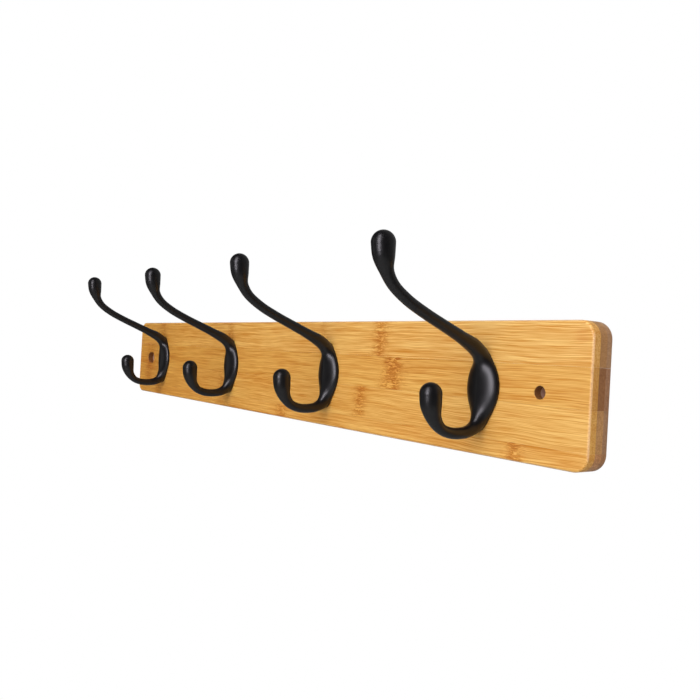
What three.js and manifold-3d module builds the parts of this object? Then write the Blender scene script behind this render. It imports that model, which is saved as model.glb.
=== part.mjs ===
// Wall hook rack: a laminated bamboo board that carries a row of black double coat hooks.
// Millimetres. The origin is the middle of the board's back face, +X runs along the board,
// +Y points into the wall and +Z is up.

import * as THREE from "three";
import { mergeVertices } from "three/addons/utils/BufferGeometryUtils.js";
import Module from "manifold-3d";

const wasm = await Module();
wasm.setup();

// The board: three plies, each glued up from strips of bamboo laid edge to edge.
const BOARD_LENGTH = 550;
const BOARD_HEIGHT = 70;
const PLY_THICKNESS = 5;
const PLY_NAMES = ["back", "core", "front"];
const TOP_STRIP_HEIGHT = 21.6;
const BOTTOM_STRIP_HEIGHT = 9.2;
const MIDDLE_STRIPS = 2;
const GLUE_LINE = 0.3;
const CORNER_RADIUS = 8.5;
const EDGE_RADIUS = 2;

// The holes for the two wall screws: a close round one on the right, and on the left a slot
// that leaves room to level the board.
const WALL_HOLE_INSET = 29;
const WALL_HOLE_RADIUS = 3.3;
const LEVELLING_SLOT_LENGTH = 15.6;
const LEVELLING_SLOT_HEIGHT = 10.4;

// The hooks.
const HOOK_COUNT = 4;
const HOOK_PITCH = 140;
const HOOK_SEAT_GAP = 0.3;
const BASE_HALF_WIDTH = 11;
const BASE_HALF_HEIGHT = 22.5;
const BASE_CROWN = 5.2;

// Points on each arm's centreline, from the ball at its tip to its root inside the base:
// how far out from the base's back, how far up from the base's middle, and the bar's radius.
const UPPER_ARM = [
  [71.5, 65.7, 5.95],
  [70.9, 60.1, 5.4],
  [68.8, 53.3, 3.6],
  [64.2, 46.9, 3.0],
  [55.0, 40.6, 2.9],
  [42.9, 35.0, 2.9],
  [30.8, 30.2, 3.0],
  [18.6, 25.3, 3.3],
  [7.9, 20.4, 3.8],
  [3.1, 16.0, 3.4],
  [1.6, 10.0, 2.6],
];
const LOWER_ARM = [
  [36.7, -3.7, 5.7],
  [36.2, -9.0, 5.4],
  [34.2, -15.1, 4.0],
  [29.4, -20.5, 3.0],
  [23.2, -22.9, 2.9],
  [16.5, -23.4, 3.0],
  [10.1, -22.5, 3.1],
  [4.7, -19.6, 3.3],
  [2.4, -15.5, 3.0],
  [1.5, -10.0, 2.5],
];

// The screws that hold each hook, driven from behind through the board into blind holes in its
// base. The cover is the metal left between a hole's end and the base's crown.
const SCREW_RADIUS = 2;
const SCREW_CLEARANCE = 0.3;
const SCREW_SPACING = 20;
const SCREW_NAMES = ["upper", "lower"];
const SCREW_COVER = 1.7;
const HEAD_RADIUS = 4;
const HEAD_HEIGHT = 2.4;
const HEAD_CLEARANCE = 0.5;
const COUNTERBORE_DEPTH = 3.4;
const RECESS_LENGTH = 4.4;
const RECESS_WIDTH = 1;
const RECESS_DEPTH = 1.5;

// How finely round shapes are faceted.
const BAR_SIDES = 12;
const BAR_STATIONS = 18;
const CAP_STEPS = 3;
const BASE_SIDES = 20;
const BASE_STATIONS = 10;
const HOLE_SIDES = 16;
const CORNER_STEPS = 5;
const EDGE_STEPS = 3;

// Sizes that follow from the ones above.
const BOARD_THICKNESS = PLY_NAMES.length * PLY_THICKNESS;
const BOARD_FRONT = -BOARD_THICKNESS;
const HOOK_BACK = BOARD_FRONT - HOOK_SEAT_GAP;
const THREAD_DEPTH = BASE_CROWN - SCREW_COVER;
const OVERSHOOT = 5;

const bamboo = {
  front: woodMaterial("front ply", 0xdc9f4b),
  core: woodMaterial("core ply", 0xb5834f),
  back: woodMaterial("back ply", 0xa9774a),
};
const blackCoat = new THREE.MeshStandardMaterial({
  name: "satin black coat",
  color: 0x1b1a1c,
  roughness: 0.42,
  metalness: 0.1,
});
const zincSteel = new THREE.MeshStandardMaterial({
  name: "zinc plated steel",
  color: 0xb9bcc0,
  roughness: 0.35,
  metalness: 1,
});

function woodMaterial(name, color) {
  return new THREE.MeshStandardMaterial({ name, color, roughness: 0.5, metalness: 0 });
}

// A closed geometry as a solid that can be joined and cut.
function solidOf(geometry) {
  const bare = geometry.clone();
  bare.deleteAttribute("normal");
  bare.deleteAttribute("uv");
  const merged = mergeVertices(bare, 1e-3);
  const vertProperties = new Float32Array(merged.getAttribute("position").array);
  const triVerts = new Uint32Array(merged.index.array);
  return new wasm.Manifold(new wasm.Mesh({ numProp: 3, vertProperties, triVerts }));
}

// A solid as a named mesh.
function meshOf(name, solid, material) {
  const { vertProperties, triVerts } = solid.getMesh();
  const geometry = new THREE.BufferGeometry();
  geometry.setAttribute("position", new THREE.BufferAttribute(vertProperties, 3));
  geometry.setIndex(new THREE.BufferAttribute(triVerts, 1));
  geometry.computeVertexNormals();
  const mesh = new THREE.Mesh(geometry, material);
  mesh.name = name;
  return mesh;
}

// A box between two corners.
function boxSolid(low, high) {
  const size = high.clone().sub(low);
  const middle = low.clone().add(high).multiplyScalar(0.5);
  const box = new THREE.BoxGeometry(size.x, size.y, size.z);
  return solidOf(box.translate(middle.x, middle.y, middle.z));
}

// A round cutter along Y, from yLow to yHigh.
function drill(x, z, radius, yLow, yHigh) {
  const cylinder = new THREE.CylinderGeometry(radius, radius, yHigh - yLow, HOLE_SIDES);
  return solidOf(cylinder.translate(0, (yLow + yHigh) / 2, 0).translate(x, 0, z));
}

// Where the hooks stand along the board, and their screws above and below each middle.
function hookPositions() {
  const first = (-(HOOK_COUNT - 1) * HOOK_PITCH) / 2;
  return Array.from({ length: HOOK_COUNT }, (_, index) => first + index * HOOK_PITCH);
}

function screwHeights() {
  return [SCREW_SPACING / 2, -SCREW_SPACING / 2];
}

// ---- Board ----

// The board's outline in XZ: a rectangle with rounded corners.
function boardOutline() {
  const x = BOARD_LENGTH / 2;
  const z = BOARD_HEIGHT / 2;
  const r = CORNER_RADIUS;
  const outline = new THREE.Shape();
  outline.absarc(x - r, z - r, r, 0, Math.PI / 2);
  outline.absarc(r - x, z - r, r, Math.PI / 2, Math.PI);
  outline.absarc(r - x, r - z, r, Math.PI, 1.5 * Math.PI);
  outline.absarc(x - r, r - z, r, 1.5 * Math.PI, 2 * Math.PI);
  return outline;
}

// The whole board with its edges rounded over, from its back at y = 0 to its front.
function boardBlank() {
  const geometry = new THREE.ExtrudeGeometry(boardOutline(), {
    depth: BOARD_THICKNESS - 2 * EDGE_RADIUS,
    curveSegments: CORNER_STEPS,
    bevelThickness: EDGE_RADIUS,
    bevelSize: EDGE_RADIUS,
    bevelOffset: -EDGE_RADIUS,
    bevelSegments: EDGE_STEPS,
  });
  geometry.translate(0, 0, EDGE_RADIUS);
  return solidOf(geometry.rotateX(Math.PI / 2));
}

// A slot along X with round ends, milled through along Y.
function slotCutter(x, z, length, height, yLow, yHigh) {
  const radius = height / 2;
  const reach = length / 2 - radius;
  const low = new THREE.Vector3(x - reach, yLow, z - radius);
  const high = new THREE.Vector3(x + reach, yHigh, z + radius);
  const ends = drill(x - reach, z, radius, yLow, yHigh).add(drill(x + reach, z, radius, yLow, yHigh));
  return ends.add(boxSolid(low, high));
}

// Everything cut through the board, or sunk into its back for a screw's head.
function boardHoles() {
  const holeX = BOARD_LENGTH / 2 - WALL_HOLE_INSET;
  const front = BOARD_FRONT - OVERSHOOT;
  const back = OVERSHOOT;
  let holes = drill(holeX, 0, WALL_HOLE_RADIUS, front, back);
  holes = holes.add(slotCutter(-holeX, 0, LEVELLING_SLOT_LENGTH, LEVELLING_SLOT_HEIGHT, front, back));
  for (const x of hookPositions()) {
    for (const z of screwHeights()) {
      holes = holes.add(drill(x, z, SCREW_RADIUS + SCREW_CLEARANCE, front, back));
      holes = holes.add(drill(x, z, HEAD_RADIUS + HEAD_CLEARANCE, -COUNTERBORE_DEPTH, back));
    }
  }
  return holes;
}

// Heights of the strips' edges, from the board's top edge to its bottom edge.
function seamHeights() {
  const top = BOARD_HEIGHT / 2;
  const firstSeam = top - TOP_STRIP_HEIGHT;
  const lastSeam = BOTTOM_STRIP_HEIGHT - top;
  const step = (firstSeam - lastSeam) / MIDDLE_STRIPS;
  const middle = Array.from({ length: MIDDLE_STRIPS + 1 }, (_, index) => firstSeam - index * step);
  return [top, ...middle, -top];
}

// The span of one layer between two faces, drawn back by half a glue line on each glued side.
// The first and last layers run past the board's own faces, which trim them.
function layerSpan(low, high, isFirst, isLast) {
  return [
    isFirst ? low - OVERSHOOT : low + GLUE_LINE / 2,
    isLast ? high + OVERSHOOT : high - GLUE_LINE / 2,
  ];
}

function addBoard(rack) {
  const board = boardBlank().subtract(boardHoles());
  const seams = seamHeights();
  const reach = BOARD_LENGTH / 2 + OVERSHOOT;
  PLY_NAMES.forEach((ply, plyIndex) => {
    const plyBack = -plyIndex * PLY_THICKNESS;
    const isFrontPly = plyIndex === PLY_NAMES.length - 1;
    const [yLow, yHigh] = layerSpan(plyBack - PLY_THICKNESS, plyBack, isFrontPly, plyIndex === 0);
    for (let row = 0; row < seams.length - 1; row += 1) {
      const isBottomRow = row === seams.length - 2;
      const [zLow, zHigh] = layerSpan(seams[row + 1], seams[row], isBottomRow, row === 0);
      const low = new THREE.Vector3(-reach, yLow, zLow);
      const high = new THREE.Vector3(reach, yHigh, zHigh);
      const strip = board.intersect(boxSolid(low, high));
      rack.add(meshOf(`${ply}_ply_strip_${row + 1}`, strip, bamboo[ply]));
    }
  });
}

// ---- Hooks ----

// The outline of a bar of changing radius as a lathe profile: radius against distance along
// its centreline, closed by a round cap at each end.
function barProfile(radiusAt, length) {
  const profile = [];
  const tip = radiusAt(0);
  const root = radiusAt(1);
  for (let step = 0; step < CAP_STEPS; step += 1) {
    const angle = (step / CAP_STEPS) * (Math.PI / 2);
    profile.push(new THREE.Vector2(tip * Math.sin(angle), -tip * Math.cos(angle)));
  }
  for (let station = 0; station <= BAR_STATIONS; station += 1) {
    const part = station / BAR_STATIONS;
    profile.push(new THREE.Vector2(radiusAt(part), part * length));
  }
  for (let step = 1; step <= CAP_STEPS; step += 1) {
    const angle = (step / CAP_STEPS) * (Math.PI / 2);
    const radius = step === CAP_STEPS ? 0 : root * Math.cos(angle);
    profile.push(new THREE.Vector2(radius, length + root * Math.sin(angle)));
  }
  return profile;
}

// A bar bent onto its centreline: a straight lathed bar whose rings are moved onto the curve.
function bentBar(points) {
  const centreline = new THREE.CatmullRomCurve3(points.map(([out, up]) => new THREE.Vector3(0, -out, up)));
  const radii = new THREE.CatmullRomCurve3(points.map(([, , radius]) => new THREE.Vector3(radius, 0, 0)));
  const length = centreline.getLength();
  const radiusAt = (part) => radii.getPoint(centreline.getUtoTmapping(part)).x;
  const bar = new THREE.LatheGeometry(barProfile(radiusAt, length), BAR_SIDES);
  const across = new THREE.Vector3(1, 0, 0);
  const place = bar.getAttribute("position");
  const vertex = new THREE.Vector3();
  for (let index = 0; index < place.count; index += 1) {
    vertex.fromBufferAttribute(place, index);
    const part = THREE.MathUtils.clamp(vertex.y / length, 0, 1);
    const beyond = vertex.y - part * length;
    const along = centreline.getTangentAt(part);
    const outward = new THREE.Vector3().crossVectors(across, along);
    const moved = centreline.getPointAt(part);
    moved.addScaledVector(along, beyond);
    moved.addScaledVector(across, vertex.x);
    moved.addScaledVector(outward, vertex.z);
    place.setXYZ(index, moved.x, moved.y, moved.z);
  }
  return solidOf(bar);
}

// The base: flat at the back, leaf shaped seen from the front and domed across its width.
// It is a ball whose back half is pressed flat and whose rings follow the leaf's outline.
function hookBase() {
  const ball = new THREE.SphereGeometry(1, BASE_SIDES, BASE_STATIONS).rotateX(Math.PI / 2);
  const place = ball.getAttribute("position");
  for (let index = 0; index < place.count; index += 1) {
    const height = THREE.MathUtils.clamp(place.getZ(index), -1, 1);
    const leaf = 1 - height * height;
    const ring = Math.sqrt(leaf);
    const across = ring > 1e-6 ? place.getX(index) / ring : 0;
    const out = Math.max(-place.getY(index), 0);
    place.setXYZ(index, BASE_HALF_WIDTH * leaf * across, -BASE_CROWN * out, BASE_HALF_HEIGHT * height);
  }
  return solidOf(ball);
}

function hookSolid() {
  let hook = hookBase().add(bentBar(UPPER_ARM)).add(bentBar(LOWER_ARM));
  const span = 2 * BASE_HALF_HEIGHT;
  const low = new THREE.Vector3(-span, 0, -span);
  const behindBase = boxSolid(low, new THREE.Vector3(span, span, span));
  hook = hook.subtract(behindBase);
  for (const z of screwHeights()) {
    hook = hook.subtract(drill(0, z, SCREW_RADIUS + SCREW_CLEARANCE, -THREAD_DEPTH, OVERSHOOT));
  }
  return hook;
}

function addHooks(rack) {
  const hook = hookSolid();
  hookPositions().forEach((x, index) => {
    const mesh = meshOf(`hook_${index + 1}`, hook, blackCoat);
    mesh.position.set(x, HOOK_BACK, 0);
    rack.add(mesh);
  });
}

// ---- Screws ----

// A pan head screw along Y with its head's top at y = 0, its point towards -Y, and a cross recess.
function screwSolid() {
  const headSeat = COUNTERBORE_DEPTH - SCREW_CLEARANCE;
  const headTop = headSeat - HEAD_HEIGHT;
  const shankLength = BOARD_THICKNESS + HOOK_SEAT_GAP + THREAD_DEPTH - SCREW_CLEARANCE - headTop;
  const chamfer = SCREW_RADIUS / 4;
  const profile = [
    [0, -shankLength],
    [SCREW_RADIUS - chamfer, -shankLength],
    [SCREW_RADIUS, chamfer - shankLength],
    [SCREW_RADIUS, -HEAD_HEIGHT],
    [HEAD_RADIUS, -HEAD_HEIGHT],
    [HEAD_RADIUS, -HEAD_HEIGHT / 2],
    [HEAD_RADIUS * 0.85, -HEAD_HEIGHT / 5],
    [HEAD_RADIUS * 0.6, 0],
    [0, 0],
  ].map(([radius, y]) => new THREE.Vector2(radius, y));
  const body = solidOf(new THREE.LatheGeometry(profile, HOLE_SIDES));
  const slot = new THREE.Vector3(RECESS_LENGTH / 2, RECESS_DEPTH, RECESS_WIDTH / 2);
  const crossSlot = new THREE.Vector3(RECESS_WIDTH / 2, RECESS_DEPTH, RECESS_LENGTH / 2);
  const recess = boxSolid(slot.clone().negate(), slot).add(boxSolid(crossSlot.clone().negate(), crossSlot));
  return { solid: body.subtract(recess), headTop };
}

function addScrews(rack) {
  const { solid, headTop } = screwSolid();
  hookPositions().forEach((x, hookIndex) => {
    screwHeights().forEach((z, screwIndex) => {
      const mesh = meshOf(`hook_${hookIndex + 1}_${SCREW_NAMES[screwIndex]}_screw`, solid, zincSteel);
      mesh.position.set(x, -headTop, z);
      rack.add(mesh);
    });
  });
}

const rack = new THREE.Group();
addBoard(rack);
addHooks(rack);
addScrews(rack);

export default rack;
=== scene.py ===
"""Wall hook rack: a laminated bamboo board with four black double coat hooks.

Lengths are in millimetres in the frame of the CAD model, apart from the studio's and the
bump distances, which are in metres. The origin is the middle of the board's back face, +X
runs along the board, +Y points into the wall and +Z is up. Meshes are scaled to metres when
they are made.
"""

import math

import bmesh
import bpy
import numpy as np
from mathutils import Matrix, Vector


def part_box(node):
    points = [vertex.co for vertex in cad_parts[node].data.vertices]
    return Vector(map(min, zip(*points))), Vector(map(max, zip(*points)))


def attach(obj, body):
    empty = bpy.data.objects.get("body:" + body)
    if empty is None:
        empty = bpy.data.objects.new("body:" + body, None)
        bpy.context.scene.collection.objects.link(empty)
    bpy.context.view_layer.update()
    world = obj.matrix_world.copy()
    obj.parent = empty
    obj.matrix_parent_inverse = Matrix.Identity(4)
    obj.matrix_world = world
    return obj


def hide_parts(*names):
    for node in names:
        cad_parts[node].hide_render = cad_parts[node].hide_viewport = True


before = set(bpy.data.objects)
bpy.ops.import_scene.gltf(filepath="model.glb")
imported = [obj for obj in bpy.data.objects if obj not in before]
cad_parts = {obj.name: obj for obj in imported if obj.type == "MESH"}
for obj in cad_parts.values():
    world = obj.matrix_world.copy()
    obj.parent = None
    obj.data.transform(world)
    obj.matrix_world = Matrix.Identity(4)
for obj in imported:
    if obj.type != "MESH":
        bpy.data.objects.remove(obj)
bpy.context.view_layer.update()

MM = 0.001
scene = bpy.context.scene

# ---- Sizes shared with the CAD model ----

PLIES = ["back", "core", "front"]
ROWS = [1, 2, 3, 4]
HOOKS = [1, 2, 3, 4]
SCREWS = ["upper", "lower"]

CORNER_RADIUS = 8.5
FRONT_EDGE_RADIUS = 1.2
BACK_EDGE_RADIUS = 2.0
WALL_HOLE_INSET = 29.0
WALL_HOLE_RADIUS = 3.3
LEVELLING_SLOT_LENGTH = 15.6
LEVELLING_SLOT_HEIGHT = 10.4
SCREW_RADIUS = 2.0
SCREW_CLEARANCE = 0.3
HEAD_RADIUS = 4.0
HEAD_CLEARANCE = 0.5
HEAD_HEIGHT = 2.4
RECESS_LENGTH = 4.4
RECESS_WIDTH = 1.0
COUNTERBORE_DEPTH = 3.4
BASE_HALF_WIDTH = 11.0

# Points on each arm's centreline: out from the base's back, up, and the bar's radius. The
# upper arm's root is a little fuller than the CAD model's, for its fillet, its ball is a hair
# smaller, and both arms end thinner inside the base.
UPPER_ARM = [
    (71.5, 65.7, 5.9),
    (70.9, 60.1, 5.4),
    (68.8, 53.3, 3.6),
    (64.2, 46.9, 3.0),
    (55.0, 40.6, 2.9),
    (42.9, 35.0, 2.9),
    (30.8, 30.2, 3.0),
    (18.6, 25.3, 3.3),
    (7.9, 20.4, 4.1),
    (3.1, 16.0, 3.7),
    (0.9, 10.0, 1.6),
]
LOWER_ARM = [
    (36.7, -3.7, 5.7),
    (36.2, -9.0, 5.4),
    (34.2, -15.1, 4.0),
    (29.4, -20.5, 3.0),
    (23.2, -22.9, 2.9),
    (16.5, -23.4, 3.0),
    (10.1, -22.5, 3.1),
    (4.7, -19.6, 3.3),
    (2.4, -15.5, 3.0),
    (0.8, -10.0, 1.4),
]


def box_mm(node):
    """Lowest and highest corner of a CAD node, in millimetres."""
    low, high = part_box(node)
    return np.array(low) / MM, np.array(high) / MM


strip_boxes = {
    (ply, row): box_mm(f"{ply}_ply_strip_{row}") for ply in PLIES for row in ROWS
}
board_low = np.min([low for low, high in strip_boxes.values()], axis=0)
board_high = np.max([high for low, high in strip_boxes.values()], axis=0)
hook_boxes = {n: box_mm(f"hook_{n}") for n in HOOKS}
hook_x = {n: (low[0] + high[0]) / 2 for n, (low, high) in hook_boxes.items()}
screw_boxes = {
    (n, which): box_mm(f"hook_{n}_{which}_screw") for n in HOOKS for which in SCREWS
}


# ---- Mesh helpers ----


def mesh_object(name, vertices, faces):
    """A new object from vertices in millimetres."""
    mesh = bpy.data.meshes.new(name)
    mesh.from_pydata((np.asarray(vertices, float) * MM).tolist(), [], faces)
    mesh.validate()
    obj = bpy.data.objects.new(name, mesh)
    scene.collection.objects.link(obj)
    return obj


def bmesh_object(name, bm):
    """A new object from a bmesh in millimetres."""
    bmesh.ops.scale(bm, vec=(MM, MM, MM), verts=bm.verts)
    bmesh.ops.recalc_face_normals(bm, faces=bm.faces)
    mesh = bpy.data.meshes.new(name)
    bm.to_mesh(mesh)
    bm.free()
    obj = bpy.data.objects.new(name, mesh)
    scene.collection.objects.link(obj)
    return obj


def smooth(obj, angle=28):
    """Smooth shading that stays crisp over edges sharper than the angle, in degrees."""
    obj.data.polygons.foreach_set("use_smooth", [True] * len(obj.data.polygons))
    obj.data.set_sharp_from_angle(angle=math.radians(angle))


def cut(obj, cutter):
    """Takes the cutter's solids away from obj and keeps the result as its mesh."""
    modifier = obj.modifiers.new("cut", "BOOLEAN")
    modifier.operation = "DIFFERENCE"
    modifier.solver = "EXACT"
    modifier.object = cutter
    graph = bpy.context.evaluated_depsgraph_get()
    made = bpy.data.meshes.new_from_object(obj.evaluated_get(graph))
    obj.modifiers.remove(modifier)
    old = obj.data
    obj.data = made
    bpy.data.meshes.remove(old)


def remove(obj):
    """Deletes an object and its mesh."""
    mesh = obj.data
    bpy.data.objects.remove(obj)
    bpy.data.meshes.remove(mesh)


def lathe(profile, x, z, sides, vertices, faces, reach=0.0):
    """Adds a closed solid turned about an axis along Y through (x, z).

    The profile is a list of (radius, y) from one end of the axis to the other. A reach pulls
    the right and left halves apart along X by that much each, which makes a slot's shape.
    """
    angles = [2 * math.pi * side / sides for side in range(sides)]
    rings = []
    for radius, y in profile:
        if radius < 1e-6:
            rings.append([len(vertices)])
            vertices.append((x, y, z))
            continue
        rings.append(list(range(len(vertices), len(vertices) + sides)))
        for angle in angles:
            pull = reach if math.cos(angle) > -1e-9 else -reach
            vertices.append((x + pull + radius * math.cos(angle), y, z + radius * math.sin(angle)))
    for one, two in zip(rings, rings[1:]):
        for side in range(sides):
            after = (side + 1) % sides
            if len(one) == 1:
                faces.append((one[0], two[after], two[side]))
            elif len(two) == 1:
                faces.append((one[side], one[after], two[0]))
            else:
                faces.append((one[side], one[after], two[after], two[side]))


def fix_normals(obj):
    """Turns every face outwards."""
    bm = bmesh.new()
    bm.from_mesh(obj.data)
    bmesh.ops.recalc_face_normals(bm, faces=bm.faces)
    bm.to_mesh(obj.data)
    bm.free()


# ---- Node helpers ----


class Nodes:
    """Short calls for building a material's nodes."""

    def __init__(self, tree):
        self.tree = tree
        tree.nodes.clear()

    def add(self, kind, settings=None, **inputs):
        node = self.tree.nodes.new(kind)
        for name, value in (settings or {}).items():
            setattr(node, name, value)
        for name, value in inputs.items():
            self.feed(node, name.replace("_", " "), value)
        return node

    def feed(self, node, socket, value):
        target = node.inputs[socket]
        if isinstance(value, bpy.types.NodeSocket):
            self.tree.links.new(value, target)
        else:
            target.default_value = value

    def math(self, operation, *values, clamp=False):
        node = self.add("ShaderNodeMath", {"operation": operation, "use_clamp": clamp})
        for index, value in enumerate(values):
            self.feed(node, index, value)
        return node.outputs[0]

    def vector(self, operation, *values):
        node = self.add("ShaderNodeVectorMath", {"operation": operation})
        for index, value in enumerate(values):
            self.feed(node, index, value)
        return node.outputs[0]

    def scaled(self, vector, factors):
        return self.vector("MULTIPLY", vector, factors)

    def combine(self, x, y, z):
        node = self.add("ShaderNodeCombineXYZ")
        for index, value in enumerate((x, y, z)):
            self.feed(node, index, value)
        return node.outputs[0]

    def split(self, vector):
        node = self.add("ShaderNodeSeparateXYZ")
        self.feed(node, 0, vector)
        return node.outputs

    def noise(self, vector, detail=2.0, roughness=0.5, distortion=0.0):
        """A noise whose cells are about one unit of the vector across, from 0 to 1."""
        node = self.add("ShaderNodeTexNoise", {"noise_dimensions": "3D"})
        self.feed(node, "Vector", vector)
        self.feed(node, "Scale", 1.0)
        self.feed(node, "Detail", detail)
        self.feed(node, "Roughness", roughness)
        self.feed(node, "Distortion", distortion)
        return node.outputs["Fac"]

    def span(self, value, from_low, from_high, to_low=0.0, to_high=1.0):
        """The value moved from one range to another, and held inside it."""
        node = self.add("ShaderNodeMapRange", {"interpolation_type": "LINEAR", "clamp": True})
        for index, item in enumerate((value, from_low, from_high, to_low, to_high)):
            self.feed(node, index, item)
        return node.outputs[0]

    def mix(self, factor, first, second, blend="MIX"):
        """A mix of two colours."""
        node = self.add("ShaderNodeMix", {"data_type": "RGBA", "blend_type": blend})
        self.feed(node, 0, factor)
        self.feed(node, 6, first)
        self.feed(node, 7, second)
        return node.outputs[2]

    def ramp(self, factor, stops):
        """A colour ramp from a list of (place, colour)."""
        node = self.add("ShaderNodeValToRGB")
        self.feed(node, 0, factor)
        elements = node.color_ramp.elements
        while len(elements) > 1:
            elements.remove(elements[-1])
        elements[0].position, elements[0].color = stops[0]
        for place, colour in stops[1:]:
            elements.new(place).color = colour
        return node.outputs[0]

    def bump(self, height, distance, strength):
        """A normal that follows the height. The distance is in metres."""
        node = self.add("ShaderNodeBump")
        self.feed(node, "Height", height)
        self.feed(node, "Distance", distance)
        self.feed(node, "Strength", strength)
        return node.outputs[0]


def colour(red, green, blue):
    """A colour from its 0 to 255 values as seen on a screen."""
    channels = []
    for value in (red, green, blue):
        part = value / 255
        channels.append(part / 12.92 if part <= 0.04045 else ((part + 0.055) / 1.055) ** 2.4)
    return (*channels, 1.0)


def tinted(shade, tint):
    """A colour with its red, green and blue multiplied, and held at full brightness."""
    return tuple(min(c * t, 1.0) for c, t in zip(shade[:3], tint)) + (1.0,)


def new_material(name):
    material = bpy.data.materials.new(name)
    material.use_nodes = True
    return material, Nodes(material.node_tree)


def finish_material(nodes, base, roughness, normal, **constants):
    """A Principled surface with its colour, roughness and normal from nodes."""
    surface = nodes.add("ShaderNodeBsdfPrincipled")
    nodes.feed(surface, "Base Color", base)
    nodes.feed(surface, "Roughness", roughness)
    nodes.feed(surface, "Normal", normal)
    for name, value in constants.items():
        surface.inputs[name.replace("_", " ")].default_value = value
    output = nodes.add("ShaderNodeOutputMaterial")
    nodes.tree.links.new(surface.outputs[0], output.inputs[0])


# ---- Bamboo ----

# Tones: colours that are mixed in, and casts that multiply the wood's own colour.
# Painted highlight: the pale colour of the line painted along the board's rounded front edges.
PAINTED_EDGE_HIGHLIGHT = colour(226, 196, 168)
# Painted sheen: the next two casts tint the wood deeper orange at the board's left end and paler
# at its right end, standing in for the lacquer's sheen.
SHEEN_CAST_LEFT = (1.00, 0.88, 0.57, 1.0)
SHEEN_CAST_RIGHT = (1.00, 1.02, 1.00, 1.0)
BUNDLE_CAST = (0.86, 0.68, 0.46, 1.0)
NODE_CAST = (0.96, 0.85, 0.60, 1.0)
FLECK_CAST = (0.70, 0.49, 0.25, 1.0)
STAIN_CAST = (0.86, 0.62, 0.42, 1.0)
END_CAST = (0.50, 0.34, 0.20)
GLEAM_GAIN = 1.12

# How strongly the painted highlight line shows along the long edges and along the right end.
LONG_EDGE_HIGHLIGHT_SHARE = 0.65
END_EDGE_HIGHLIGHT_SHARE = 0.38

# The walls of the wall holes: how far round a hole's middle they reach, and the tones painted on
# them, dark brown painted shade in the front ply and pale pink in the core ply.
BORE_REACH_X = 9.0
BORE_REACH_Z = 5.9
BORE_SHARE = 0.8
BORE_PAINT_TONES = {"front": colour(112, 68, 42), "core": colour(232, 192, 172)}

# What each width of pattern adds to the tone. They add up to one.
STREAK_WEIGHT = 0.42
THREAD_WEIGHT = 0.30
BAND_WEIGHT = 0.15
BROAD_WEIGHT = 0.13


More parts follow.
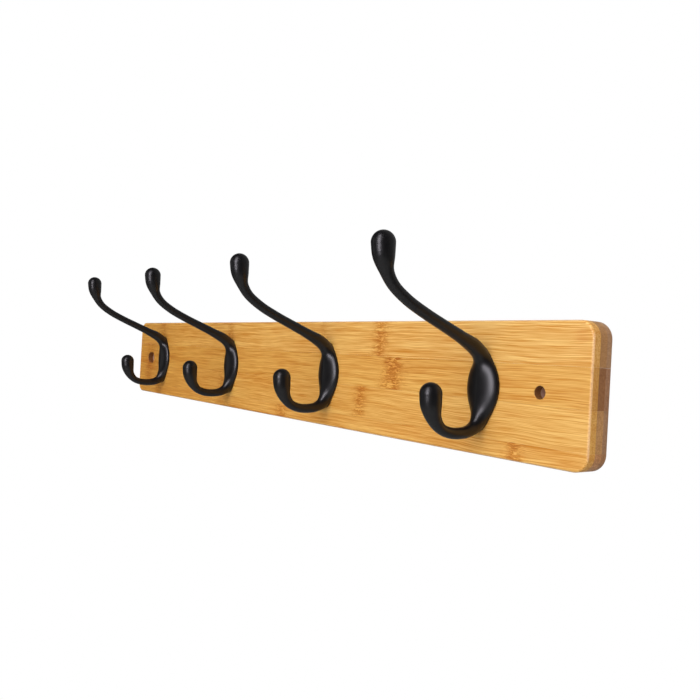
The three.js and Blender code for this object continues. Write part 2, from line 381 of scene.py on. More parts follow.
def bamboo(name, seed, light, dark, joints=(), spots=(), end_cast=END_CAST, bore=None):
    """Lacquered bamboo whose fibres run along X.

    joints are the growth nodes that cross the strip: (x, half width, strength, slant).
    spots are stained places: (x, z, half length, half height, strength).
    end_cast is how much of each colour is left in the dots of the end grain.
    bore is the colour painted on the walls of the wall holes, dark as painted shade in the front
    ply, or None to leave them as they are.
    """
    material, n = new_material(name)
    place = n.add("ShaderNodeTexCoord").outputs["Object"]
    point = n.scaled(place, (1000.0, 1000.0, 1000.0))
    x, y, z = n.split(point)
    offset = (seed * 37.7, seed * 11.3, seed * 23.9)
    shifted = n.vector("ADD", point, offset)

    # How strongly each growth node shows here. Its edges wander and its middle is broken up.
    wander = n.noise(n.scaled(shifted, (0.12, 0.5, 0.42)), detail=3.0, roughness=0.65)
    mask = None
    for at, half_width, strength, slant in joints:
        along = n.math("SUBTRACT", x, n.math("MULTIPLY_ADD", z, slant, at))
        drift = n.math("MULTIPLY_ADD", wander, half_width * 2.4, half_width * -1.2)
        along = n.math("ADD", along, drift)
        along = n.math("DIVIDE", along, half_width)
        bell = n.math("EXPONENT", n.math("MULTIPLY", n.math("MULTIPLY", along, along), -1.1))
        bell = n.math("MULTIPLY", bell, strength)
        mask = bell if mask is None else n.math("MAXIMUM", mask, bell)
    if mask is None:
        mask = n.math("MULTIPLY", wander, 0.0)

    # The fibres sway gently, and swerve where they cross a growth node.
    sway = n.noise(n.scaled(shifted, (0.018, 0.05, 0.03)), detail=1.0)
    swerve = n.noise(n.scaled(shifted, (0.11, 0.3, 0.22)), detail=2.0)
    lift = n.math("MULTIPLY_ADD", sway, 3.2, -1.6)
    swing = n.math("MULTIPLY_ADD", swerve, 4.0, -2.0)
    swing = n.math("MULTIPLY", swing, n.math("MULTIPLY_ADD", mask, 0.7, 0.12))
    shifted_x, shifted_y, shifted_z = n.split(shifted)
    fibre_z = n.math("ADD", shifted_z, n.math("ADD", lift, swing))
    fibre = n.combine(shifted_x, shifted_y, fibre_z)

    broad = n.noise(n.scaled(fibre, (0.010, 0.12, 0.14)), detail=2.0)
    band = n.noise(n.scaled(fibre, (0.020, 0.50, 0.55)), detail=2.0, roughness=0.55)
    streak = n.noise(n.scaled(fibre, (0.022, 1.8, 1.95)), detail=2.0, roughness=0.6)
    thread = n.noise(n.scaled(fibre, (0.060, 3.1, 3.4)), detail=1.0, roughness=0.6)
    fleck = n.scaled(fibre, (0.22, 0.85, 0.95))
    fleck = n.noise(fleck, detail=2.5, roughness=0.65, distortion=0.9)

    broad = n.span(broad, 0.30, 0.70)
    band = n.span(band, 0.32, 0.68)
    streak = n.span(streak, 0.33, 0.67)
    thread = n.span(thread, 0.32, 0.68)
    tone = n.math("MULTIPLY", streak, STREAK_WEIGHT)
    tone = n.math("ADD", tone, n.math("MULTIPLY", thread, THREAD_WEIGHT))
    tone = n.math("ADD", tone, n.math("MULTIPLY", band, BAND_WEIGHT))
    tone = n.math("ADD", tone, n.math("MULTIPLY", broad, BROAD_WEIGHT))
    middle = tuple((a + b) / 2 for a, b in zip(light, dark))
    base = n.ramp(tone, [(0.22, dark), (0.5, middle), (0.78, light)])

    # The board is painted deeper and more orange towards its left end and paler towards its right
    # end: painted sheen, standing in for the lacquer's sheen at the right end.
    along = n.span(x, board_low[0], board_high[0])
    base = n.mix(1.0, base, n.mix(along, SHEEN_CAST_LEFT, SHEEN_CAST_RIGHT), "MULTIPLY")

    # Thin dark vascular bundles, in dashes.
    dash = n.noise(n.scaled(fibre, (0.050, 2.0, 2.2)), detail=1.0)
    dash = n.span(dash, 0.60, 0.72)
    bundle = n.mix(1.0, base, BUNDLE_CAST, "MULTIPLY")
    base = n.mix(n.math("MULTIPLY", dash, 0.55), base, bundle)

    # Growth nodes: an orange cast broken up by short wavy brown flecks.
    cast = n.mix(1.0, base, NODE_CAST, "MULTIPLY")
    base = n.mix(n.math("MULTIPLY", mask, 0.9, clamp=True), base, cast)
    flecks = n.math("MULTIPLY", n.span(fleck, 0.42, 0.54), mask, clamp=True)
    brown = n.mix(1.0, base, FLECK_CAST, "MULTIPLY")
    base = n.mix(flecks, base, brown)
    gleam = n.math("MULTIPLY", n.span(fleck, 0.42, 0.30), mask, clamp=True)
    base = n.mix(n.math("MULTIPLY", gleam, 0.5), base, tinted(light, (GLEAM_GAIN,) * 3))

    # Stained places.
    for at_x, at_z, half_length, half_height, strength in spots:
        dx = n.math("DIVIDE", n.math("SUBTRACT", x, at_x), half_length)
        dz = n.math("DIVIDE", n.math("SUBTRACT", z, at_z), half_height)
        far = n.math("ADD", n.math("MULTIPLY", dx, dx), n.math("MULTIPLY", dz, dz))
        far = n.math("ADD", far, n.math("MULTIPLY_ADD", streak, 0.9, -0.45))
        spot = n.math("EXPONENT", n.math("MULTIPLY", far, -1.2))
        spot = n.math("MULTIPLY", spot, strength, clamp=True)
        base = n.mix(spot, base, n.mix(1.0, base, STAIN_CAST, "MULTIPLY"))

    # End grain: where the fibres are cut across, the wood is darker and dotted.
    facing_x, facing_y, _ = n.split(n.add("ShaderNodeNewGeometry").outputs["Normal"])
    end = n.span(n.math("ABSOLUTE", facing_x), 0.45, 0.95)
    dots = n.noise(n.scaled(shifted, (0.3, 2.3, 2.3)), detail=2.0)
    dots = n.span(dots, 0.42, 0.66)
    end_dots = n.mix(1.0, base, (*end_cast, 1.0), "MULTIPLY")
    end_base = n.mix(n.math("MULTIPLY_ADD", dots, 0.3, 0.22), base, end_dots)
    base = n.mix(end, base, end_base)

    # The walls of the wall holes are painted: dark brown in the front ply as painted shade inside
    # the hole, and pale pink in the core ply.
    if bore is not None:
        hole_x = board_high[0] - WALL_HOLE_INSET
        off_hole = n.math("ABSOLUTE", n.math("SUBTRACT", n.math("ABSOLUTE", x), hole_x))
        wall = n.math("LESS_THAN", n.math("ABSOLUTE", z), BORE_REACH_Z)
        wall = n.math("MULTIPLY", n.math("LESS_THAN", off_hole, BORE_REACH_X), wall)
        wall = n.math("MULTIPLY", wall, n.span(n.math("ABSOLUTE", facing_y), 0.6, 0.3))
        base = n.mix(n.math("MULTIPLY", wall, BORE_SHARE), base, bore)

    # A pale line is painted along the round-over of the front's long edges and right end: a
    # painted highlight standing in for the light those edges catch.
    rim_z = n.span(n.math("ABSOLUTE", z), board_high[2] - 0.75, board_high[2] - 0.25)
    rim_x = n.span(x, board_high[0] - 0.9, board_high[0] - 0.3)
    rim_y = n.span(y, board_low[1] + 1.1, board_low[1] + 0.6)
    rim_z = n.math("MULTIPLY", rim_z, LONG_EDGE_HIGHLIGHT_SHARE)
    rim = n.math("MAXIMUM", rim_z, n.math("MULTIPLY", rim_x, END_EDGE_HIGHLIGHT_SHARE))
    base = n.mix(n.math("MULTIPLY", rim, rim_y), base, PAINTED_EDGE_HIGHLIGHT)

    rough = n.math("ADD", n.span(thread, 0.0, 1.0, 0.40, 0.50), n.math("MULTIPLY", mask, 0.04))
    height = n.math("ADD", n.math("MULTIPLY", thread, 0.5), n.math("MULTIPLY", streak, 0.5))
    height = n.math("SUBTRACT", height, n.math("MULTIPLY", n.math("MAXIMUM", dash, flecks), 0.8))
    normal = n.bump(height, 0.00003, 0.55)
    finish_material(n, base, rough, normal, Specular_IOR_Level=0.42)
    return material


# Tone of each ply: its light and dark fibres.
PLY_TONES = {
    "front": (colour(255, 208, 124), colour(216, 139, 42)),
    "core": (colour(196, 150, 98), colour(150, 106, 62)),
    "back": (colour(192, 150, 106), colour(146, 107, 70)),
}
# How each strip departs from its ply's tone: a factor for red, green and blue.
STRIP_TINTS = {
    ("front", 1): (1.00, 1.01, 1.07),
    ("front", 2): (0.94, 0.89, 0.77),
    ("front", 3): (0.98, 0.96, 0.92),
    ("front", 4): (0.98, 0.93, 0.85),
    ("core", 1): (1.15, 1.12, 1.15),
    ("core", 2): (0.84, 0.70, 0.68),
    ("core", 3): (1.38, 1.40, 1.48),
    ("core", 4): (1.45, 1.36, 1.60),
    ("back", 1): (1.20, 1.22, 1.45),
    ("back", 2): (1.08, 1.00, 1.20),
    ("back", 3): (1.12, 1.12, 1.35),
    ("back", 4): (1.15, 1.05, 1.10),
}
END_CASTS = {("front", 2): (0.30, 0.12, 0.10), ("core", 2): (0.45, 0.28, 0.20)}
GROWTH_NODES = {
    ("front", 1): [
        (121.0, 7.0, 1.0, 0.05),
        (-77.0, 6.0, 0.6, 0.05),
        (60.0, 4.0, 0.35, 0.0),
        (-217.0, 8.0, 0.55, 0.0),
    ],
    ("front", 2): [(136.0, 9.0, 1.25, -0.05), (-247.0, 9.0, 0.5, 0.0), (210.0, 7.0, 0.35, 0.0)],
    ("front", 3): [(105.0, 6.0, 0.85, 0.02), (-87.0, 6.0, 0.55, 0.05), (-250.0, 9.0, 0.6, 0.0)],
    ("front", 4): [(235.0, 6.0, 1.05, 0.1), (11.0, 8.0, 0.8, 0.0), (-225.0, 7.0, 0.5, 0.0)],
    ("core", 1): [(40.0, 5.0, 0.8, 0.0)],
    ("core", 4): [(-150.0, 5.0, 0.8, 0.0)],
    ("back", 1): [(-140.0, 5.0, 0.9, 0.02), (165.0, 5.5, 0.8, 0.0)],
    ("back", 2): [(28.0, 5.5, 1.0, -0.03), (-238.0, 5.0, 0.7, 0.02)],
    ("back", 3): [(-60.0, 5.0, 0.9, 0.03), (222.0, 5.0, 0.8, 0.0)],
    ("back", 4): [(92.0, 5.0, 0.9, 0.0)],
}
STAINS = {
    ("front", 1): [(-250.0, 14.5, 12.0, 1.6, 0.9), (268.0, 27.0, 4.0, 5.0, 0.35)],
    ("front", 2): [(-246.0, -4.0, 9.0, 2.0, 0.5)],
    ("front", 3): [(-247.0, -9.5, 10.0, 2.4, 0.7)],
}


# ---- Board ----

SEAM_GAP = 0.05
CORNER_STEPS = 14
EDGE_STEPS = 8
SUPPORT = 0.7
HOLE_EDGE_BREAK = 0.25


def outline_points(inset):
    """The board's rounded outline in XZ, drawn in by inset, anticlockwise from the right.

    A point just before and just after each corner keeps the flats' shading flat.
    """
    half_x = (board_high[0] - board_low[0]) / 2
    half_z = (board_high[2] - board_low[2]) / 2
    middle_x = (board_high[0] + board_low[0]) / 2
    middle_z = (board_high[2] + board_low[2]) / 2
    radius = CORNER_RADIUS - inset
    points = []
    for turn, (side_x, side_z) in enumerate([(1, 1), (-1, 1), (-1, -1), (1, -1)]):
        centre_x = middle_x + side_x * (half_x - CORNER_RADIUS)
        centre_z = middle_z + side_z * (half_z - CORNER_RADIUS)
        first = turn * math.pi / 2
        start = (centre_x + radius * math.cos(first), centre_z + radius * math.sin(first))
        points.append((start[0] + SUPPORT * math.sin(first), start[1] - SUPPORT * math.cos(first)))
        for step in range(CORNER_STEPS + 1):
            angle = first + step / CORNER_STEPS * math.pi / 2
            x = centre_x + radius * math.cos(angle)
            z = centre_z + radius * math.sin(angle)
            points.append((x, z))
        last = first + math.pi / 2
        end = (centre_x + radius * math.cos(last), centre_z + radius * math.sin(last))
        points.append((end[0] - SUPPORT * math.sin(last), end[1] + SUPPORT * math.cos(last)))
    return points


def edge_profile():
    """(inset, y) down the board's edge, from its front face to its back face."""
    front, back = board_low[1], board_high[1]
    near, far = FRONT_EDGE_RADIUS, BACK_EDGE_RADIUS
    turns = [step / EDGE_STEPS * math.pi / 2 for step in range(EDGE_STEPS + 1)]
    rows = [(near + SUPPORT, front)]
    rows += [(near * (1 - math.sin(a)), front + near * (1 - math.cos(a))) for a in turns]
    rows += [(0.0, front + near + SUPPORT), (0.0, back - far - SUPPORT)]
    rows += [(far * (1 - math.cos(a)), back - far * (1 - math.sin(a))) for a in turns]
    rows.append((far + SUPPORT, back))
    return rows


def board_blank():
    """The whole board as a bmesh, with rounded corners and rounded-over edges."""
    bm = bmesh.new()
    rings = []
    for inset, y in edge_profile():
        rings.append([bm.verts.new((x, y, z)) for x, z in outline_points(inset)])
    for one, two in zip(rings, rings[1:]):
        for index in range(len(one)):
            after = (index + 1) % len(one)
            bm.faces.new((one[index], one[after], two[after], two[index]))
    bm.faces.new(rings[0])
    bm.faces.new(list(reversed(rings[-1])))
    return bm


def trim(bm, axis, at, keep_above):
    """Cuts the solid with a plane across an axis and closes the cut."""
    normal = [0.0, 0.0, 0.0]
    normal[axis] = -1.0 if keep_above else 1.0
    where = [0.0, 0.0, 0.0]
    where[axis] = at
    geometry = bm.verts[:] + bm.edges[:] + bm.faces[:]
    bmesh.ops.bisect_plane(bm, geom=geometry, plane_co=where, plane_no=normal, clear_outer=True)
    bmesh.ops.holes_fill(bm, edges=[e for e in bm.edges if e.is_boundary], sides=0)


def drilled_solids():
    """Every hole's cutter as one object, each with its small edge break."""
    vertices, faces = [], []
    front, back = board_low[1], board_high[1]
    hole_x = board_high[0] - WALL_HOLE_INSET
    slot_radius = LEVELLING_SLOT_HEIGHT / 2
    slot_reach = LEVELLING_SLOT_LENGTH / 2 - slot_radius
    wall_holes = ((hole_x, WALL_HOLE_RADIUS, 0.0), (-hole_x, slot_radius, slot_reach))
    for x, radius, reach in wall_holes:
        profile = [
            (0.0, front - 1.0),
            (radius + HOLE_EDGE_BREAK + 1.0, front - 1.0),
            (radius, front + HOLE_EDGE_BREAK),
            (radius, back - HOLE_EDGE_BREAK),
            (radius + HOLE_EDGE_BREAK + 1.0, back + 1.0),
            (0.0, back + 1.0),
        ]
        lathe(profile, x, 0.0, 96, vertices, faces, reach)
    for low, high in screw_boxes.values():
        x, z = (low[0] + high[0]) / 2, (low[2] + high[2]) / 2
        sink = HEAD_RADIUS + HEAD_CLEARANCE
        shank = SCREW_RADIUS + SCREW_CLEARANCE
        profile = [
            (0.0, front - 1.0),
            (shank, front - 1.0),
            (shank, back - COUNTERBORE_DEPTH),
            (sink, back - COUNTERBORE_DEPTH),
            (sink, back - 0.2),
            (sink + 1.2, back + 1.0),
            (0.0, back + 1.0),
        ]
        lathe(profile, x, z, 64, vertices, faces)
    cutter = mesh_object("cutter", vertices, faces)
    fix_normals(cutter)
    return cutter


def gap_edge(neighbours_edge, own_edge):
    """Where a strip ends at a seam: half a hairline gap from the seam's middle."""
    middle = (neighbours_edge + own_edge) / 2
    return middle + math.copysign(SEAM_GAP / 2, own_edge - middle)


def build_board():
    cutter = drilled_solids()
    for ply_index, ply in enumerate(PLIES):
        for row in ROWS:
            low, high = strip_boxes[ply, row]
            bm = board_blank()
            if row > ROWS[0]:
                trim(bm, 2, gap_edge(strip_boxes[ply, row - 1][0][2], high[2]), False)
            if row < ROWS[-1]:
                trim(bm, 2, gap_edge(strip_boxes[ply, row + 1][1][2], low[2]), True)
            if ply_index > 0:
                behind = strip_boxes[PLIES[ply_index - 1], row]
                trim(bm, 1, gap_edge(behind[0][1], high[1]), False)
            if ply_index < len(PLIES) - 1:
                before = strip_boxes[PLIES[ply_index + 1], row]
                trim(bm, 1, gap_edge(before[1][1], low[1]), True)
            strip = bmesh_object(f"bamboo_{ply}_{row}", bm)
            # No hole reaches the bottom row.
            if row != ROWS[-1]:
                cut(strip, cutter)
            smooth(strip)
            light, dark = PLY_TONES[ply]
            tint = STRIP_TINTS[ply, row]
            material = bamboo(
                f"bamboo_{ply}_{row}",
                seed=1.0 + ply_index * 4 + row,
                light=tinted(light, tint),
                dark=tinted(dark, tint),
                joints=GROWTH_NODES.get((ply, row), ()),
                spots=STAINS.get((ply, row), ()),
                end_cast=END_CASTS.get((ply, row), END_CAST),
                bore=BORE_PAINT_TONES.get(ply),
            )
            strip.data.materials.clear()
            strip.data.materials.append(material)
            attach(strip, "root")
            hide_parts(f"{ply}_ply_strip_{row}")
    remove(cutter)


# ---- Hooks ----
# A hook is one smooth surface: the two arms and the base are distance fields that flow
# together, and the mesh is a net laid on where the joined field is zero. Inside these
# functions a point is (across, out from the base's back, up), in millimetres.

SEATING = 0.25
ARM_BLEND = 6.0
BACK_BLEND = 0.3
NET_STEP = 0.62
NET_LOW = (-BASE_HALF_WIDTH - 1.3, -1.4, -28.4)
NET_HIGH = (BASE_HALF_WIDTH + 1.3, 79.2, 74.0)
SETTLE_ROUNDS = 9

# The base seen from the front: its widest place, its tips above and below that, and how
# bluntly it draws in towards each tip. Its section is half an ellipse with a faint ridge.
BASE_WAIST = -0.5
BASE_RISE = 20.1
BASE_DROP = 21.6
BASE_RISE_POWER = 2.3
BASE_DROP_POWER = 1.75
BASE_CROWN = 5.0
BASE_RIM_BLEND = 0.6
NARROWEST = 0.8
FACET_POWER = 1.6
RIDGE_HEIGHT = 0.25
RIDGE_ROUNDING = 0.5
RIDGE_FADE = 2.5


def soft_min(a, b, reach):
    """The smaller of two fields, blended smoothly where they are within reach."""
    near = np.maximum(reach - np.abs(a - b), 0.0) / reach
    return np.minimum(a, b) - near**3 * reach / 6


def soft_max(a, b, reach):
    """The larger of two fields, blended in the same way."""
    return -soft_min(-a, -b, reach)


def spline(points, count):
    """Evenly spaced points along a centripetal Catmull-Rom curve through the points."""
    p = np.array(points, float)
    p = np.vstack([2 * p[0] - p[1], p, 2 * p[-1] - p[-2]])
    rows = []
    for i in range(len(p) - 3):
        a, b, c, d = p[i : i + 4]
        knots = [0.0]
        for one, two in ((a, b), (b, c), (c, d)):
            knots.append(knots[-1] + max(np.linalg.norm(two[:2] - one[:2]), 1e-6) ** 0.5)
        t0, t1, t2, t3 = knots
        for t in np.linspace(t1, t2, 24, endpoint=False):
            a1 = (t1 - t) / (t1 - t0) * a + (t - t0) / (t1 - t0) * b
            a2 = (t2 - t) / (t2 - t1) * b + (t - t1) / (t2 - t1) * c
            a3 = (t3 - t) / (t3 - t2) * c + (t - t2) / (t3 - t2) * d
            b1 = (t2 - t) / (t2 - t0) * a1 + (t - t0) / (t2 - t0) * a2
            b2 = (t3 - t) / (t3 - t1) * a2 + (t - t1) / (t3 - t1) * a3
            rows.append((t2 - t) / (t2 - t1) * b1 + (t - t1) / (t2 - t1) * b2)
    rows.append(p[-2])
    rows = np.array(rows)
    length = np.r_[0, np.cumsum(np.linalg.norm(np.diff(rows[:, :2], axis=0), axis=1))]
    even = np.linspace(0, length[-1], count)
    return np.stack([np.interp(even, length, rows[:, k]) for k in range(3)], axis=1)


def bar_field(points, chain):
    """Distance from a bar whose centreline and radius follow the chain."""
    best = np.full(len(points), 1e9)
    across2 = points[:, 0] ** 2
    for one, two in zip(chain, chain[1:]):
        step = two[:2] - one[:2]
        away_out = points[:, 1] - one[0]
        away_up = points[:, 2] - one[1]
        part = np.clip((away_out * step[0] + away_up * step[1]) / (step @ step), 0, 1)
        far2 = (away_out - part * step[0]) ** 2 + (away_up - part * step[1]) ** 2 + across2
        best = np.minimum(best, np.sqrt(far2) - (one[2] + part * (two[2] - one[2])))
    return best


def base_edge(up):
    """The base's half width at a height, and how fast it changes."""
    height = up - BASE_WAIST
    power = np.where(height > 0, BASE_RISE_POWER, BASE_DROP_POWER)
    reach = np.where(height > 0, BASE_RISE, BASE_DROP)
    share = np.abs(height) / reach
    slope = BASE_HALF_WIDTH * power * share ** (power - 1) / reach
    return BASE_HALF_WIDTH * (1 - share**power), slope


def base_field(points):
    """Rough distance from the base: leaf shaped from the front and domed across."""
    across, out, up = points.T
    edge, slope = base_edge(up)
    width = np.maximum(edge, NARROWEST)
    off_ridge = np.sqrt(across**2 + RIDGE_ROUNDING**2) - RIDGE_ROUNDING
    crown = BASE_CROWN + RIDGE_HEIGHT * np.exp(-off_ridge / RIDGE_FADE)
    share = np.abs(across) / width
    level = np.sqrt(share**FACET_POWER + (out / crown) ** 2)
    lean = FACET_POWER / 2 * np.maximum(share, 0.02) ** (FACET_POWER - 1) / width
    steep = np.sqrt(lean**2 + (out / crown**2) ** 2)
    dome = (level - 1) * np.maximum(level, 0.01) / np.maximum(steep, 0.001)
    side = (np.abs(across) - edge) / np.sqrt(1 + slope**2)
    return soft_max(dome, side, BASE_RIM_BLEND)


def hook_field(points, chains):
    """Rough distance from a whole hook, cut flat behind. The chains are its two arms."""
    upper = bar_field(points, chains[0])
    lower = bar_field(points, chains[1])
    joined = soft_min(base_field(points), upper, ARM_BLEND)
    joined = soft_min(joined, lower, ARM_BLEND)
    return soft_max(joined, -(points[:, 1] + SEATING), BACK_BLEND)


def surface_net(field, low, step):
    """A net of quads over the zero level of a field sampled on a grid."""
    cells = tuple(size - 1 for size in field.shape)
    total = np.zeros((int(np.prod(cells)), 3))
    count = np.zeros(int(np.prod(cells)))
    edges = []
    for axis in range(3):
        first = np.moveaxis(field, axis, 0)[:-1]
        second = np.moveaxis(field, axis, 0)[1:]
        crossing = np.argwhere((first < 0) != (second < 0))
        start = first[tuple(crossing.T)]
        end = second[tuple(crossing.T)]
        others = [a for a in range(3) if a != axis]
        corner = np.zeros((len(crossing), 3), int)
        corner[:, axis] = crossing[:, 0]
        corner[:, others[0]] = crossing[:, 1]
        corner[:, others[1]] = crossing[:, 2]
        where = corner.astype(float)
        where[:, axis] += start / (start - end)
        around = []
        for back_one, back_two in ((0, 0), (1, 0), (1, 1), (0, 1)):
            cell = corner.copy()
            cell[:, others[0]] -= back_one
            cell[:, others[1]] -= back_two
            index = np.ravel_multi_index(tuple(cell.T), cells)
            np.add.at(total, index, where)
            np.add.at(count, index, 1)
            around.append(index)
        quads = np.stack(around, axis=1)
        turn = (start < 0) == (axis == 1)
        quads[turn] = quads[turn][:, ::-1]
        edges.append(quads)
    used = np.flatnonzero(count)
    number = np.full(len(count), -1)
    number[used] = np.arange(len(used))
    vertices = np.asarray(low) + step * total[used] / count[used][:, None]
    return vertices, number[np.vstack(edges)]


def gradient(field, vertices, step=0.01):
    """How fast a field changes along each axis at the vertices."""
    slope = np.zeros_like(vertices)
    for axis in range(3):
        nudge = np.zeros(3)
        nudge[axis] = step
        slope[:, axis] = (field(vertices + nudge) - field(vertices - nudge)) / (2 * step)
    return slope


def settle(vertices, quads, field, rounds):
    """Evens the net out and lays it exactly on the zero level."""
    pairs = np.vstack([quads[:, [k, (k + 1) % 4]] for k in range(4)])
    pairs = np.unique(np.sort(pairs, axis=1), axis=0)
    degree = np.bincount(pairs.ravel(), minlength=len(vertices))[:, None]
    for turn in range(rounds):
        if turn < rounds - 2:
            total = np.zeros_like(vertices)
            np.add.at(total, pairs[:, 0], vertices[pairs[:, 1]])
            np.add.at(total, pairs[:, 1], vertices[pairs[:, 0]])
            vertices = vertices + 0.5 * (total / degree - vertices)
        slope = gradient(field, vertices)
        steep = np.maximum((slope**2).sum(axis=1), 0.25)
        move = -(field(vertices) / steep)[:, None] * slope
        far = np.linalg.norm(move, axis=1, keepdims=True)
        vertices = vertices + move * np.minimum(1, 0.4 / np.maximum(far, 1e-9))
    return vertices


def hook_mesh():
    """One hook's vertices, their normals and its quads. Its base's back is at y = 0."""
    coarse = [spline(UPPER_ARM, 46), spline(LOWER_ARM, 34)]
    fine = [spline(UPPER_ARM, 150), spline(LOWER_ARM, 110)]
    low = np.array(NET_LOW)
    high = np.array(NET_HIGH)
    sizes = np.ceil((high - low) / NET_STEP).astype(int) + 1
    axes = [low[k] + NET_STEP * np.arange(sizes[k]) for k in range(3)]
    values = np.empty(tuple(sizes))
    for index, across in enumerate(axes[0]):
        out, up = np.meshgrid(axes[1], axes[2], indexing="ij")
        points = np.stack([np.full(out.size, across), out.ravel(), up.ravel()], axis=1)
        values[index] = hook_field(points, coarse).reshape(out.shape)
    vertices, quads = surface_net(values, low, NET_STEP)
    vertices = settle(vertices, quads, lambda p: hook_field(p, fine), SETTLE_ROUNDS)
    normals = gradient(lambda p: hook_field(p, fine), vertices)
    normals /= np.linalg.norm(normals, axis=1, keepdims=True)
    flip = (1, -1, 1)
    return vertices * flip, normals * flip, quads


COAT_DEEP = (0.0022, 0.0020, 0.0024, 1.0)
COAT_PALE = (0.0030, 0.0027, 0.0032, 1.0)


def black_coat():
    """Satin black powder coat with a very fine orange-peel texture."""
    material, n = new_material("black_coat")
    place = n.add("ShaderNodeTexCoord").outputs["Object"]
    point = n.scaled(place, (1000.0, 1000.0, 1000.0))
    cloud = n.noise(n.scaled(point, (0.12, 0.12, 0.12)), detail=2.0)
    peel = n.noise(n.scaled(point, (1.6, 1.6, 1.6)), detail=2.0, roughness=0.6)
    base = n.ramp(cloud, [(0.3, COAT_DEEP), (0.7, COAT_PALE)])
    rough = n.span(cloud, 0.3, 0.7, 0.31, 0.34)
    rough = n.math("ADD", rough, n.span(peel, 0.3, 0.7, 0.0, 0.02))
    normal = n.bump(peel, 0.000004, 0.15)
    finish_material(n, base, rough, normal, Specular_IOR_Level=0.5)
    return material


def build_hooks():
    coat = black_coat()
    vertices, normals, quads = hook_mesh()
    for number in HOOKS:
        seat = np.array([hook_x[number], hook_boxes[number][1][1], 0.0])
        hook = mesh_object(f"double_hook_{number}", vertices + seat, quads.tolist())
        fix_normals(hook)
        smooth(hook, 180)
        hook.data.normals_split_custom_set_from_vertices(normals.tolist())
        hook.data.materials.append(coat)
        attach(hook, "root")
        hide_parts(f"hook_{number}")


# ---- Screws ----


def zinc_plate():
    """Bright zinc plating with a fine grit in its roughness and surface."""
    material, n = new_material("zinc_plate")
    place = n.add("ShaderNodeTexCoord").outputs["Object"]
    point = n.scaled(place, (1000.0, 1000.0, 1000.0))
    cloud = n.noise(n.scaled(point, (0.6, 0.6, 0.6)), detail=3.0)
    grit = n.noise(n.scaled(point, (5.0, 5.0, 5.0)), detail=2.0)
    base = n.ramp(cloud, [(0.3, (0.50, 0.51, 0.54, 1.0)), (0.7, (0.64, 0.65, 0.66, 1.0))])
    rough = n.span(grit, 0.3, 0.7, 0.26, 0.40)
    normal = n.bump(grit, 0.00001, 0.4)
    finish_material(n, base, rough, normal, Metallic=1.0)
    return material


SCREW_SIDES = 48
HEAD_FLAT = 0.45
HEAD_DOME = 0.62
DOME_STEPS = 8
HEAD_EDGE_BREAK = 0.15
NECK_SHARE = 0.85
NECK_LENGTH = 0.8
GROOVE_PITCH = 0.7
GROOVE_SHARE = 0.82
POINT_SHARE = 0.7
POINT_LENGTH = 0.6
RECESS_DEPTH = 1.45
RECESS_TAPER = 0.72
RECESS_OVERSHOOT = 0.5


def screw_profile(top, point):
    """(radius, y) along a pan head screw with rings for a thread, from its head to its point."""
    profile = [(0.0, top), (HEAD_RADIUS * HEAD_FLAT, top)]
    for step in range(1, DOME_STEPS + 1):
        angle = step / DOME_STEPS * math.pi / 2
        radius = HEAD_RADIUS * (HEAD_FLAT + (1 - HEAD_FLAT) * math.sin(angle))
        profile.append((radius, top - HEAD_HEIGHT * HEAD_DOME * (1 - math.cos(angle))))
    profile.append((HEAD_RADIUS, top - HEAD_HEIGHT + HEAD_EDGE_BREAK))
    profile.append((HEAD_RADIUS - HEAD_EDGE_BREAK, top - HEAD_HEIGHT))
    profile.append((SCREW_RADIUS * NECK_SHARE, top - HEAD_HEIGHT))
    y = top - HEAD_HEIGHT - NECK_LENGTH
    while y - GROOVE_PITCH > point + POINT_LENGTH:
        profile.append((SCREW_RADIUS * GROOVE_SHARE, y))
        profile.append((SCREW_RADIUS, y - GROOVE_PITCH / 2))
        y -= GROOVE_PITCH
    profile.append((SCREW_RADIUS * GROOVE_SHARE, y))
    profile.append((SCREW_RADIUS * POINT_SHARE, point))
    profile.append((0.0, point))
    return profile


def recess_arm(x, z, top, length, width):
    """A cutter for one arm of a screw's cross recess, which narrows with depth."""
    vertices = []
    for y, shrink in ((top + RECESS_OVERSHOOT, 1.0), (top - RECESS_DEPTH, RECESS_TAPER)):
        reach_x, reach_z = length / 2 * shrink, width / 2 * shrink
        for side_x, side_z in ((1, 1), (-1, 1), (-1, -1), (1, -1)):
            vertices.append((x + side_x * reach_x, y, z + side_z * reach_z))
    faces = [(0, 1, 2, 3), (4, 7, 6, 5)]
    for side in range(4):
        after = (side + 1) % 4
        faces.append((side, 4 + side, 4 + after, after))
    cutter = mesh_object("recess_arm", vertices, faces)
    fix_normals(cutter)
    return cutter


def build_screws():
    plate = zinc_plate()
    for (number, which), (low, high) in screw_boxes.items():
        x, z = (low[0] + high[0]) / 2, (low[2] + high[2]) / 2
        vertices, faces = [], []
        lathe(screw_profile(high[1], low[1]), x, z, SCREW_SIDES, vertices, faces)
        screw = mesh_object(f"screw_{number}_{which}", vertices, faces)
        fix_normals(screw)
        for length, width in ((RECESS_LENGTH, RECESS_WIDTH), (RECESS_WIDTH, RECESS_LENGTH)):
            cutter = recess_arm(x, z, high[1], length, width)
            cut(screw, cutter)
            remove(cutter)
        smooth(screw, 35)
        screw.data.materials.clear()
        screw.data.materials.append(plate)
        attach(screw, "root")
        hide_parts(f"hook_{number}_{which}_screw")


# ---- Studio ----
# Places and sizes of the camera and the lights are in metres.

CAMERA_PLACE = (0.477596, -0.300068, 0.012479)
CAMERA_AZIMUTH = math.radians(53.558)
CAMERA_PITCH = math.radians(0.465)
CAMERA_ROLL = math.radians(3.198)
SENSOR_WIDTH = 36.0
FOCAL_LENGTH = 38.18
STREAK_TINT = (1.0, 0.95, 1.04)

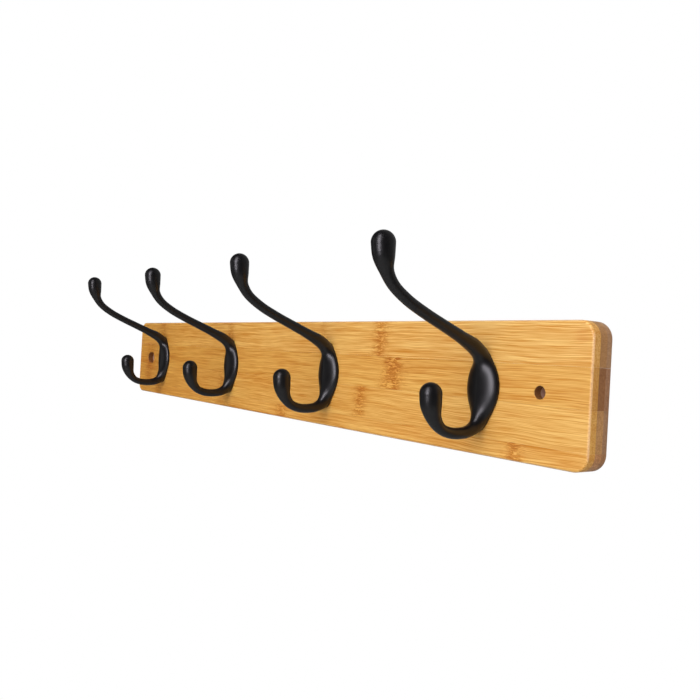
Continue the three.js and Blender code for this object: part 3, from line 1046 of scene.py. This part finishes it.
# Each light's name, azimuth, elevation, distance, width, height and radiance, and which part
# of it surfaces take.
LIGHTS = [
    ("streak_low", 19, 7, 1.37, 0.45, 0.80, 9.2, "highlights"),
    ("streak_high", 19, 38, 1.37, 0.45, 0.72, 6.0, "highlights"),
    ("left_strip", -43, 10, 1.5, 0.45, 1.1, 0.45, "both"),
    ("main", 30, 22, 1.15, 1.20, 1.20, 2.80, "shading"),
    ("front_fill", -10, 15, 1.8, 1.6, 1.4, 0.60, "shading"),
    ("right_fill", 88, 10, 1.6, 0.9, 1.2, 1.7, "shading"),
    ("top_fill", 10, 75, 1.3, 1.4, 0.8, 0.9, "shading"),
    ("back_fill", 200, 25, 1.8, 1.4, 1.0, 1.6, "shading"),
]

# The floor's half size and its height, in millimetres like every mesh.
FLOOR_REACH = 6000
FLOOR_LEVEL = -650


def build_camera():
    a, p, r = CAMERA_AZIMUTH, CAMERA_PITCH, CAMERA_ROLL
    ahead = Vector((-math.sin(a) * math.cos(p), math.cos(a) * math.cos(p), math.sin(p)))
    level = Vector((math.cos(a), math.sin(a), 0.0))
    upright = level.cross(ahead)
    right = level * math.cos(r) + upright * math.sin(r)
    up = upright * math.cos(r) - level * math.sin(r)
    data = bpy.data.cameras.new("camera")
    data.sensor_width = SENSOR_WIDTH
    data.lens = FOCAL_LENGTH
    data.clip_start = 0.01
    data.clip_end = 50.0
    camera = bpy.data.objects.new("camera", data)
    turn = Matrix((right, up, -ahead)).transposed().to_4x4()
    camera.matrix_world = Matrix.Translation(CAMERA_PLACE) @ turn
    scene.collection.objects.link(camera)
    scene.camera = camera


def softbox(name, azimuth, elevation, distance, width, height, radiance, part):
    """A flat light that faces the board. Azimuth 0 is straight ahead of it, 90 is to its right.

    The part says whether surfaces take only their highlights or only their shading from it.
    """
    a, e = math.radians(azimuth), math.radians(elevation)
    towards = Vector((math.sin(a) * math.cos(e), -math.cos(a) * math.cos(e), math.sin(e)))
    data = bpy.data.lights.new(name, "AREA")
    data.shape = "RECTANGLE"
    data.size = width
    data.size_y = height
    data.energy = radiance * math.pi * width * height
    light = bpy.data.objects.new(name, data)
    light.location = towards * distance
    light.rotation_mode = "QUATERNION"
    light.rotation_quaternion = towards.to_track_quat("Z", "Y")
    light.visible_camera = False
    if part == "highlights":
        data.color = STREAK_TINT
    light.visible_diffuse = part != "highlights"
    light.visible_glossy = part != "shading"
    scene.collection.objects.link(light)


def build_studio():
    world = bpy.data.worlds.new("studio")
    scene.world = world
    world.use_nodes = True
    n = Nodes(world.node_tree)
    behind = n.split(n.add("ShaderNodeTexCoord").outputs["Generated"])[1]
    shade = n.ramp(
        n.span(behind, -1.0, 1.0),
        [
            (0.0, (0.030, 0.030, 0.032, 1.0)),
            (0.5, (0.045, 0.045, 0.048, 1.0)),
            (0.62, (0.22, 0.22, 0.22, 1.0)),
            (1.0, (0.34, 0.34, 0.34, 1.0)),
        ],
    )
    seen = n.add("ShaderNodeLightPath").outputs["Is Camera Ray"]
    sky = n.mix(seen, shade, (1.0, 1.0, 1.0, 1.0))
    background = n.add("ShaderNodeBackground", Color=sky, Strength=1.0)
    output = n.add("ShaderNodeOutputWorld")
    n.tree.links.new(background.outputs[0], output.inputs[0])

    for light in LIGHTS:
        softbox(*light)

    corners = [(-1, -1), (1, -1), (1, 1), (-1, 1)]
    corners = [(x * FLOOR_REACH, y * FLOOR_REACH, FLOOR_LEVEL) for x, y in corners]
    floor = mesh_object("floor", corners, [(0, 1, 2, 3)])
    material, n = new_material("floor")
    pale = n.add("ShaderNodeBsdfDiffuse", Color=(0.55, 0.55, 0.55, 1.0))
    white = n.add("ShaderNodeEmission", Color=(1.0, 1.0, 1.0, 1.0), Strength=1.0)
    seen = n.add("ShaderNodeLightPath").outputs["Is Camera Ray"]
    both = n.add("ShaderNodeMixShader")
    n.feed(both, 0, seen)
    n.feed(both, 1, pale.outputs[0])
    n.feed(both, 2, white.outputs[0])
    output = n.add("ShaderNodeOutputMaterial")
    n.tree.links.new(both.outputs[0], output.inputs[0])
    floor.data.materials.append(material)

    scene.view_settings.view_transform = "Standard"


build_camera()
build_board()
build_hooks()
build_screws()
build_studio()
